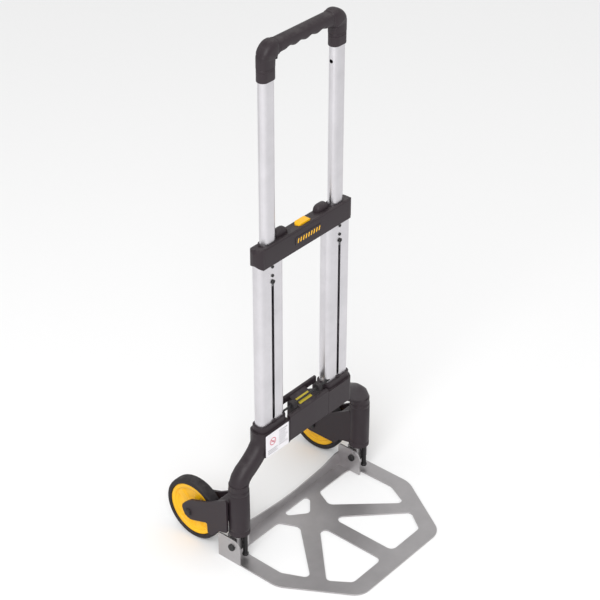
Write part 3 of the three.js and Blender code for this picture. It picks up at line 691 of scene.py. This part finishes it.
def print_piece(name, shapes, face, carrier, finish):
    """Printed shapes as thin plates just in front of a face, each four points (x, z)."""
    flat = np.array(shapes, float)
    turn = np.sum(flat[:, :, 0] * np.roll(flat[:, :, 1], -1, axis=1)
                  - np.roll(flat[:, :, 0], -1, axis=1) * flat[:, :, 1], axis=1)
    flat[turn < 0] = flat[turn < 0][:, ::-1]
    count = len(flat)
    points = np.zeros((count, 2, 4, 3))
    points[..., 0] = flat[:, None, :, 0]
    points[..., 2] = flat[:, None, :, 1]
    points[:, 0, :, 1] = face - PRINT_OUTER
    points[:, 1, :, 1] = face - PRINT_INNER
    base = 8 * np.arange(count)[:, None]
    faces = [base + np.array([[0, 1, 2, 3]]), base + np.array([[7, 6, 5, 4]])]
    for i in range(4):
        j = (i + 1) % 4
        faces.append(base + np.array([[i, i + 4, j + 4, j]]))
    mesh = bpy.data.meshes.new(name)
    mesh.from_pydata((points.reshape(-1, 3) * MM).tolist(), [],
                     np.concatenate(faces).tolist())
    body = frame["nodes"][carrier]["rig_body"]
    new_piece(name, mesh, finish_of(finish), body)


# ---------- one operator for each group of pieces ----------
class TRUCK_OT_stage(bpy.types.Operator):
    """Lay the floor, light it softly and set up the camera"""

    bl_idname = "truck.stage"
    bl_label = "Stage"

    def execute(self, context):
        settings = context.scene.truck_stage
        floor_mesh = bpy.data.meshes.new("floor")
        reach = FLOOR_REACH
        floor_mesh.from_pydata(
            [(-reach, -reach, 0), (reach, -reach, 0), (reach, reach, 0), (-reach, reach, 0)],
            [], [(0, 1, 2, 3)])
        floor = bpy.data.objects.new("floor", floor_mesh)
        context.scene.collection.objects.link(floor)
        material, _, shader = finish_frame("floor_paint", Roughness=0.9)
        shader.inputs["Base Color"].default_value = (*settings.floor, 1.0)
        shader.inputs["Specular IOR Level"].default_value = 0.1
        floor_mesh.materials.append(material)

        world = bpy.data.worlds.new("studio")
        world.use_nodes = True
        back = world.node_tree.nodes["Background"]
        back.inputs["Color"].default_value = (1.0, 1.0, 1.0, 1.0)
        back.inputs["Strength"].default_value = settings.sky
        context.scene.world = world
        for name, power, size, place in (
                ("key", settings.key_power, KEY_SIZE, KEY_PLACE),
                ("fill", settings.fill_power, FILL_SIZE, FILL_PLACE)):
            light = bpy.data.lights.new(name, "AREA")
            light.energy, light.size = power, size
            holder = bpy.data.objects.new(name, light)
            holder.location = place
            aim = Vector(LIGHT_AIM) - Vector(place)
            holder.rotation_mode = "QUATERNION"
            holder.rotation_quaternion = aim.to_track_quat("-Z", "Y")
            context.scene.collection.objects.link(holder)

        camera_data = bpy.data.cameras.new("camera")
        camera_data.lens, camera_data.sensor_width = settings.lens, CAMERA_SENSOR
        camera_data.shift_x = CAMERA_SHIFT
        camera_data.clip_start, camera_data.clip_end = CAMERA_NEAR, CAMERA_FAR
        camera = bpy.data.objects.new("camera", camera_data)
        azimuth = math.radians(CAMERA_AZIMUTH)
        elevation = math.radians(CAMERA_ELEVATION)
        back = Vector((math.sin(azimuth) * math.cos(elevation),
                       -math.cos(azimuth) * math.cos(elevation), math.sin(elevation)))
        camera.location = CAMERA_PLACE
        camera.rotation_mode = "QUATERNION"
        camera.rotation_quaternion = (-back).to_track_quat("-Z", "Y")
        context.scene.collection.objects.link(camera)
        context.scene.camera = camera
        context.scene.view_settings.view_transform = "Standard"
        return {"FINISHED"}


class TRUCK_OT_tubes(bpy.types.Operator):
    """Round and finish the fixed and sliding tubes with their stops and studs"""

    bl_idname = "truck.tubes"
    bl_label = "Tubes"

    def execute(self, context):
        sizes = context.scene.truck_sizes
        finer_pair("profile", sizes.metal_edge, 2)
        finer_pair("upper_tube", sizes.metal_edge, 2)
        for stem in ("tube_slider", "guide_bushing", "slot_stop"):
            finer_pair(stem, GUIDE_EDGE, 2)
        for side, _ in SIDES:
            for which in ("upper", "lower"):
                self.head(f"rivet_{which}_{side}", "dome", RIVET_SHANK, RIVET_RIM, 32)
            self.head(f"guide_stud_{side}", "head", STUD_SHANK, STUD_RIM, 36, hexed=(7, 8))
        return {"FINISHED"}

    def head(self, node, ending, shank, rim, around, hexed=()):
        """Head: rows of (depth, radius) turned round Y, with a pocket in the front.

        The shank's depths run forward from the back of the node, and the rim's run
        back from its front. Hexed rows go round as hexagons.
        """
        low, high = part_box(node)
        middle = middle_of(node)
        deep = (high[1] - low[1]) / MM
        profile = [(deep - depth, radius) for depth, radius in shank] + list(rim)
        centre = (middle[0], low[1], middle[2])
        turned_piece(f"{node}_{ending}", node, profile, "y", centre, around, hexed)


class TRUCK_OT_grip(bpy.types.Operator):
    """Make the hand grip with its finger waves, and the collars under it"""

    bl_idname = "truck.grip"
    bl_label = "Grip"

    def execute(self, context):
        surface_piece("handle_grip_bow", "handle_grip", self.bow(), angle=50.0)
        for side, _ in SIDES:
            surface_piece(f"handle_collar_{side}_sleeve", f"handle_collar_{side}",
                          self.sleeve(f"handle_collar_{side}"), wrap=True, angle=44.0)
        return {"FINISHED"}

    def bow(self):
        """Bow: a rounded section carried up one post, over and down the other.

        The path is a straight, a quarter turn, a straight, a quarter turn and a
        straight. The section is a superellipse whose size follows the distance along
        the path: full in the corners, slimmer under the hand, where four finger waves
        shape its lower half by a raised cosine. Bell curves add the necks and grooves
        beside the hand's sleeve, a seam round each post and a web inside each corner.
        """
        low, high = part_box("handle_grip")
        post = middle_of("handle_collar_right")[0] / MM
        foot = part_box("handle_collar_right")[1][2] / MM
        top, deep = high[2] / MM, (high[1] - low[1]) / MM
        tall = GRIP_HEIGHT
        crown, bend = top - tall / 2, GRIP_BEND
        rise = np.linspace(foot + 0.3, crown - bend, GRIP_STEPS)
        turn = np.linspace(0.0, math.pi / 2, GRIP_STEPS)[1:-1]
        over = np.linspace(-post + bend, post - bend, GRIP_TOP_STEPS)
        x = np.concatenate([
            np.full(GRIP_STEPS, -post), -post + bend * (1 - np.cos(turn)), over])
        z = np.concatenate([
            rise, crown - bend + bend * np.sin(turn), np.full(GRIP_TOP_STEPS, crown)])
        climb = GRIP_STEPS + len(turn)
        x = np.concatenate([x, -x[:climb][::-1]])
        z = np.concatenate([z, z[:climb][::-1]])
        ahead = np.stack([np.gradient(x), np.gradient(z)], axis=1)
        ahead /= np.linalg.norm(ahead, axis=1, keepdims=True)
        outward = np.stack([-ahead[:, 1], ahead[:, 0]], axis=1)
        away = np.abs(x)
        post_part = blend_step(crown - z, 6.0, 16.0)
        sleeve = 1.0 - blend_step(away, GRIP_SLEEVE - 1.5, GRIP_SLEEVE + 1.5)
        corner = np.exp(-((away - post + 3.0) / 12.0) ** 4) * (1 - post_part)
        swell = 1.0 + 0.09 * corner
        neck = 0.09 * np.exp(-((away - GRIP_SLEEVE - 3.5) / 3.0) ** 2)
        groove = 0.07 * np.exp(-((away - GRIP_SLEEVE) / 0.9) ** 2)
        seam = 0.03 * np.exp(-((z - foot - 19.0) / 0.6) ** 2)
        half_tall = (tall / 2 - 0.4) * swell * (1 - neck - groove) - 0.9 * sleeve
        half_deep = (deep / 2) * (1 - neck - groove - seam) - 0.8 * sleeve
        half_tall = half_tall * (1 - seam) + post_part * 2.6 - 1.6 * sleeve
        half_deep = half_deep - post_part * 1.5 + 1.0 * corner
        angle = np.linspace(0.0, 2 * math.pi, 72, endpoint=False)
        cos, sin = np.cos(angle), np.sin(angle)
        out = half_tall[:, None] * np.sign(sin) * np.abs(sin) ** GRIP_SQUARE
        side = half_deep[:, None] * np.sign(cos) * np.abs(cos) ** GRIP_SQUARE
        under = blend_step(-sin, -0.35, 0.75)[None, :]
        reach = 1.0 - blend_step(away, 48.0, 56.0)
        wave = reach * (0.5 + 0.5 * np.cos(2 * math.pi * (x - GRIP_WAVE / 2) / GRIP_WAVE))
        out = out + under * GRIP_WAVE_DEPTH * wave[:, None]
        web = np.exp(-((away - post + 9.0) / 11.0) ** 2 - ((crown - z) / 15.0) ** 2)
        out = out - under * GRIP_WEB * web[:, None]
        rings = np.zeros((len(x), len(angle), 3))
        rings[..., 0] = x[:, None] + out * outward[:, 0:1]
        rings[..., 1] = side
        rings[..., 2] = z[:, None] + out * outward[:, 1:2]
        rings *= MM
        rings[..., 1] += middle_of("handle_grip")[1]
        return rings

    def sleeve(self, node):
        """Collar: a stadium ring with a rolled lower edge, carried up the tube."""
        low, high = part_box(node)
        wide, deep = (high[0] - low[0]) / MM, (high[1] - low[1]) / MM
        bottom, top = low[2] / MM, high[2] / MM
        grow = np.array([-1.8, -1.75, -0.9, -0.25, 0.0, 0.0, -0.5, -0.5, 0.0, 0.0, -0.4,
                         -1.8])
        level = np.array([bottom + 0.6, bottom, bottom, bottom + 0.5, bottom + 1.6,
                          top - 5.4, top - 5.1, top - 4.3, top - 4.0, top - 0.5, top,
                          top])
        angle = np.linspace(0.0, 2 * math.pi, 96, endpoint=False)
        flat = (wide - deep) / 2
        rings = np.zeros((len(level), len(angle), 3))
        radius = deep / 2 + grow[:, None]
        rings[..., 0] = radius * np.cos(angle) + flat * np.tanh(9.0 * np.cos(angle))
        rings[..., 1] = radius * np.sin(angle)
        rings[..., 2] = level[:, None]
        rings *= MM
        middle = middle_of(node)
        return rings + np.array([middle[0], middle[1], 0.0])


class TRUCK_OT_crossbar(bpy.types.Operator):
    """Make the crossbar's shells, badge, button, latch pins and springs"""

    bl_idname = "truck.crossbar"
    bl_label = "Crossbar"

    def execute(self, context):
        edge = context.scene.truck_sizes.mould_edge
        finer_one("crossbar_front", edge, 3, 50.0)
        finer_one("crossbar_rear", edge, 3, 50.0)
        finer_one("crossbar_badge", BADGE_EDGE, 1)
        self.hatch()
        finer_one("release_button", edge, 3)
        for side, sign in SIDES:
            added_piece(f"crossbar_guard_{side}", self.guard(sign), "frame",
                        "charcoal_plastic", angle=60.0)
        self.screws()
        finer_pair("latch_pin", PIN_EDGE, 2)
        coil = self.spring("button_coil", "button_spring", "z", *BUTTON_COIL)
        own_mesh(coil)
        for side, _ in SIDES:
            self.spring(f"latch_coil_{side}", f"latch_spring_{side}", "x", *LATCH_COIL)
        return {"FINISHED"}

    def screws(self):
        """Screws: domed heads turned round Y, whose pocket rows go round as hexagons."""
        low, high = (np.array(corner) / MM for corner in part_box("crossbar_rear"))
        for number, x in enumerate(SCREW_PLACES):
            place = (x * MM, high[1] * MM, (low[2] + SCREW_LEVEL) * MM)
            rings = turned_rings(capped(SCREW_HEAD), "y", place, 36, hexed=(5, 6, 7))
            added_piece(f"crossbar_screw_{number + 1}", rings, "frame", "black_steel")

    def spring(self, name, node, axis, radius, wire, turns):
        """Spring: a round wire swept along a helix from end to end of the node."""
        low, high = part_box(node)
        along = AXES[axis][0]
        line = coil_points(radius, wire, low[along], high[along], turns, axis,
                           middle_of(node))
        return surface_piece(name, node, rod_rings(line, wire / 2))

    def guard(self, sign):
        """Guard beside a tube: level superellipse rings that close in upwards.

        Ring size falls as the cube root of one less the cube of the height share.
        """
        post = middle_of("upper_tube_right")[0] / MM
        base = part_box("crossbar_rear")[1][2] / MM - GUARD_SINK
        share = np.linspace(0.0, 0.995, 16)
        shrink = (1.0 - share ** 3) ** (1.0 / 3.0)
        angle = np.linspace(0.0, 2 * math.pi, 48, endpoint=False)
        cos, sin = np.cos(angle), np.sin(angle)
        wide = GUARD_WIDTH * shrink[:, None]
        deep = GUARD_DEPTH * shrink[:, None]
        rings = np.zeros((len(share), len(angle), 3))
        rings[..., 0] = wide * np.sign(cos) * np.abs(cos) ** GUARD_SQUARE
        rings[..., 1] = deep * np.sign(sin) * np.abs(sin) ** GUARD_SQUARE
        rings[..., 2] = base + GUARD_HEIGHT * share[:, None]
        rings[..., 0] += sign * (post - GUARD_INSET)
        rings[..., 1] += middle_of("upper_tube_right")[1] / MM + GUARD_BACK
        return rings * MM

    def hatch(self):
        """Badge hatch: a row of slanted amber bars printed on the badge."""
        low, high = (np.array(corner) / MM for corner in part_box("crossbar_badge"))
        foot, head = low[2] + 3.4, high[2] - 3.4
        bars = []
        for start in np.linspace(low[0] + 5.0, high[0] - 9.6, 9):
            bars.append([(start, foot), (start + 2.8, foot), (start + 4.8, head),
                         (start + 2.0, head)])
        print_piece("crossbar_badge_hatch", bars, low[1], "crossbar_badge", "amber_plastic")


class TRUCK_OT_crossmember(bpy.types.Operator):
    """Make the crossmember, its rod and buffers and the two stickers"""

    bl_idname = "truck.crossmember"
    bl_label = "Crossmember"

    def execute(self, context):
        edge = context.scene.truck_sizes.mould_edge
        finer_one("crossmember", edge, 3)
        finer_one("cross_rod", ROD_EDGE, 2)
        for side, _ in SIDES:
            self.buffer(side)
        finer_one("warning_label", 0.0, 1)
        finer_one("block_label", 0.0, 1)
        self.sticker_print()
        return {"FINISHED"}

    def buffer(self, side):
        """Buffer: a roll with rounded ends and a groove round its middle, turned on X."""
        node = f"rod_buffer_{side}"
        low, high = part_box(node)
        centre = (low[0], middle_of(node)[1], middle_of(node)[2])
        wide = (high[0] - low[0]) / MM
        shape = [(0.0, 4.4), (0.0, 6.3), (0.7, 7.2), (1.6, 7.5), (wide / 2 - 0.9, 7.5),
                 (wide / 2 - 0.3, 7.0), (wide / 2 + 0.3, 7.0), (wide / 2 + 0.9, 7.5),
                 (wide - 1.6, 7.5), (wide - 0.7, 7.2), (wide, 6.3), (wide, 4.4)]
        turned_piece(f"rod_buffer_{side}_roll", node, shape, "x", centre, 48)

    def sticker_print(self):
        """Sticker print: a ring with a stroke across, and grey bars that stand for lines.

        The ring is a band between two circles, cut into short four-cornered plates.
        """
        low, high = (np.array(corner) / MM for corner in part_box("warning_label"))
        wide, tall = high[0] - low[0], high[2] - low[2]
        centre = np.array([low[0] + wide * 0.3, low[2] + tall * 0.6])
        turn = np.linspace(0.0, 2.0 * math.pi, SIGN_PLATES + 1)
        rim = np.stack([np.cos(turn), np.sin(turn)], axis=1)
        inner, outer = centre + SIGN_INNER * rim, centre + SIGN_OUTER * rim
        ring = [[tuple(inner[i]), tuple(inner[i + 1]), tuple(outer[i + 1]), tuple(outer[i])]
                for i in range(SIGN_PLATES)]
        cx, cz = centre
        ring.append([(cx - 5.4, cz + 4.2), (cx - 4.2, cz + 5.4), (cx + 5.4, cz - 4.2),
                     (cx + 4.2, cz - 5.4)])
        ring.append([(cx - 5.0, cz - 0.8), (cx - 5.0, cz + 0.8), (cx + 5.0, cz + 0.8),
                     (cx + 5.0, cz - 0.8)])
        print_piece("sticker_sign", ring, low[1], "warning_label", "red_print")
        bars = []
        for row in range(7):
            level = high[2] - 7.0 - 5.0 * row
            start, end = low[0] + wide * 0.57, high[0] - 4.0 - 3.2 * (row % 3)
            bars.append([(start, level), (end, level), (end, level + 1.5),
                         (start, level + 1.5)])
        for row in range(3):
            level = low[2] + 4.5 + 3.6 * row
            start, end = low[0] + 5.0, low[0] + wide * 0.5 - 3.0 * (row % 2)
            bars.append([(start, level), (end, level), (end, level + 1.2),
                         (start, level + 1.2)])
        print_piece("sticker_lines", bars, low[1], "warning_label", "grey_print")


class TRUCK_OT_legs(bpy.types.Operator):
    """Make the legs that carry the tubes down to the wheel knuckles"""

    bl_idname = "truck.legs"
    bl_label = "Legs"

    def execute(self, context):
        finer_pair("leg", LEG_EDGE, 2, 40.0)
        finer_pair("knuckle_pin", LEG_EDGE, 2)
        return {"FINISHED"}


class TRUCK_OT_toe_plate(bpy.types.Operator):
    """Make the folding toe plate"""

    bl_idname = "truck.toe_plate"
    bl_label = "Toe plate"

    def execute(self, context):
        finer_one("toe_plate", context.scene.truck_sizes.metal_edge, 2)
        return {"FINISHED"}


class TRUCK_OT_feet(bpy.types.Operator):
    """Make the feet with their hinge bolts and stop posts"""

    bl_idname = "truck.feet"
    bl_label = "Feet"

    def execute(self, context):
        for stem in ("foot_block", "stop_post", "hinge_bolt"):
            finer_pair(stem, BOLT_EDGE, 2)
        return {"FINISHED"}


class TRUCK_OT_forks(bpy.types.Operator):
    """Make the wheel forks and axles"""

    bl_idname = "truck.forks"
    bl_label = "Forks"

    def execute(self, context):
        finer_pair("fork", context.scene.truck_sizes.mould_edge, 3)
        for side, _ in SIDES:
            self.knuckle_sleeve(side)
        finer_pair("axle", BOLT_EDGE, 2)
        return {"FINISHED"}

    def knuckle_sleeve(self, side):
        """Sleeve: a hollow profile with moulded steps, turned round the knuckle pin."""
        low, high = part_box(f"fork_{side}")
        foot, head = (low[2] + SLEEVE_FOOT) / MM, high[2] / MM
        middle = middle_of(f"knuckle_pin_{side}")
        outer = [(foot + 0.4, 19.0), (foot + 0.9, 19.7), (foot + 8.4, 19.7),
                 (foot + 9.2, 19.0), (foot + 10.2, 18.9), (foot + 11.0, 19.5),
                 (foot + 16.0, 19.6), (foot + 50.0, 19.75), (head - 9.0, 19.4),
                 (head - 8.4, 18.9), (head - 7.4, 18.9), (head - 6.8, 19.3),
                 (head - 1.0, 19.2), (head - 0.4, 18.7)]
        inner = [(head - 0.4, SLEEVE_BORE), (foot + 0.4, SLEEVE_BORE)]
        rings = turned_rings(outer + inner, "z", (middle[0], middle[1], 0.0), 72)
        added_piece(f"knuckle_sleeve_{side}", rings, f"swing_{side}", "charcoal_plastic",
                    wrap=True, angle=42.0)


class TRUCK_OT_wheels(bpy.types.Operator):
    """Make the wheel discs with their pockets and the tyres"""

    bl_idname = "truck.wheels"
    bl_label = "Wheels"

    def execute(self, context):
        for side, _ in SIDES:
            self.make_tyre(side)
            self.make_disc(side)
        return {"FINISHED"}

    def make_tyre(self, side):
        """Tyre: a closed profile of rounded shoulders, carried round the axle.

        Half width goes as the root of the cosine, so the tread is nearly flat and
        the shoulders are round. A shallow ring marks each side wall.
        """
        node = f"tyre_{side}"
        low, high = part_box(node)
        half = (high[0] - low[0]) / 2 / MM
        outer = (high[2] - low[2]) / 2 / MM
        turn = np.linspace(0.0, math.pi, 49)
        cos, sin = np.cos(turn), np.sin(turn)
        wide = half * np.sign(cos) * np.abs(cos) ** 0.42
        tall = TYRE_BEAD + 1.2 + (outer - TYRE_BEAD - 1.2) * np.abs(sin) ** 0.55
        tall -= 0.45 * np.exp(-((np.abs(wide) - 7.4) / 0.45) ** 2) * (sin > 0.5)
        wide -= np.sign(cos) * 0.5 * np.exp(-((tall - 56.6) / 0.5) ** 2) * (sin < 0.9)
        inner = np.linspace(-half + 1.6, half - 1.6, 7)
        profile = np.concatenate([
            np.stack([wide, tall], axis=1),
            np.stack([inner, np.full(len(inner), TYRE_BEAD)], axis=1)])
        rings = turned_rings(profile, "x", middle_of(node), 128)
        surface_piece(f"{node}_tread", node, rings, wrap=True, angle=40.0)

    def make_disc(self, side):
        """Disc: raised rim and hub, with five pockets sunk between broad spokes.

        A pocket is a smooth step in radius times a smooth step in the cosine of five
        times the angle.
        """
        node = f"wheel_disc_{side}"
        low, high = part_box(node)
        boss = (high[0] - low[0]) / 2 / MM
        rim = (high[2] - low[2]) / 2 / MM
        radius = np.concatenate([
            [DISC_BORE, DISC_BORE + 0.4, 9.0, 12.2, 13.0, 13.4, 14.4],
            np.linspace(16.0, 43.0, 28), [43.8, 44.4, 45.0, 46.0, 48.5, 51.4, 52.4, rim]])
        face = (boss * np.ones_like(radius)
                - 4.5 * blend_step(radius, 12.4, 15.5)
                + 3.0 * blend_step(radius, 43.4, 46.0))
        face[0] -= 0.5
        face[-2] -= 0.3
        face[-1] -= 1.2
        profile = np.concatenate([
            np.stack([face, radius], axis=1),
            np.stack([-face[::-1], radius[::-1]], axis=1)])

        def sink(along, radius, angle):
            """How far a pocket moves a point of the face along the axle."""
            reach = radius / MM
            window = blend_step(reach, 17.5, 21.0) * (1.0 - blend_step(reach, 38.5, 42.0))
            lobes = blend_step(np.cos(DISC_POCKETS * angle), -0.62, -0.1)
            return -np.sign(along) * POCKET_DEPTH * MM * window * lobes

        rings = turned_rings(profile, "x", middle_of(node), 200, sink=sink)
        surface_piece(f"{node}_face", node, rings, wrap=True, angle=50.0)


class TRUCK_PT_panel(bpy.types.Panel):
    """Lists the truck's operators and settings"""

    bl_label = "Hand truck"
    bl_idname = "TRUCK_PT_panel"
    bl_space_type = "VIEW_3D"
    bl_region_type = "UI"
    bl_category = "Hand truck"

    def draw(self, context):
        layout = self.layout
        for operator in OPERATORS:
            layout.operator(operator.bl_idname)
        for settings in (context.scene.truck_colours, context.scene.truck_sizes,
                         context.scene.truck_stage):
            box = layout.box()
            for key in settings.bl_rna.properties.keys():
                if key not in ("rna_type", "name"):
                    box.prop(settings, key)


OPERATORS = (
    TRUCK_OT_stage, TRUCK_OT_tubes, TRUCK_OT_grip, TRUCK_OT_crossbar,
    TRUCK_OT_crossmember, TRUCK_OT_legs, TRUCK_OT_toe_plate, TRUCK_OT_feet,
    TRUCK_OT_forks, TRUCK_OT_wheels,
)
CLASSES = (TruckColours, TruckSizes, StageSettings, *OPERATORS, TRUCK_PT_panel)


def register():
    """Registers the classes and puts the settings on the scene."""
    for kind in CLASSES:
        bpy.utils.register_class(kind)
    bpy.types.Scene.truck_colours = bpy.props.PointerProperty(type=TruckColours)
    bpy.types.Scene.truck_sizes = bpy.props.PointerProperty(type=TruckSizes)
    bpy.types.Scene.truck_stage = bpy.props.PointerProperty(type=StageSettings)


def unregister():
    """Takes the settings off the scene and the classes out again."""
    for name in ("truck_colours", "truck_sizes", "truck_stage"):
        delattr(bpy.types.Scene, name)
    for kind in reversed(CLASSES):
        bpy.utils.unregister_class(kind)


def main():
    """Makes every piece in order."""
    register()
    for operator in OPERATORS:
        getattr(bpy.ops.truck, operator.bl_idname.split(".")[1])()


if __name__ == "__main__":
    main()
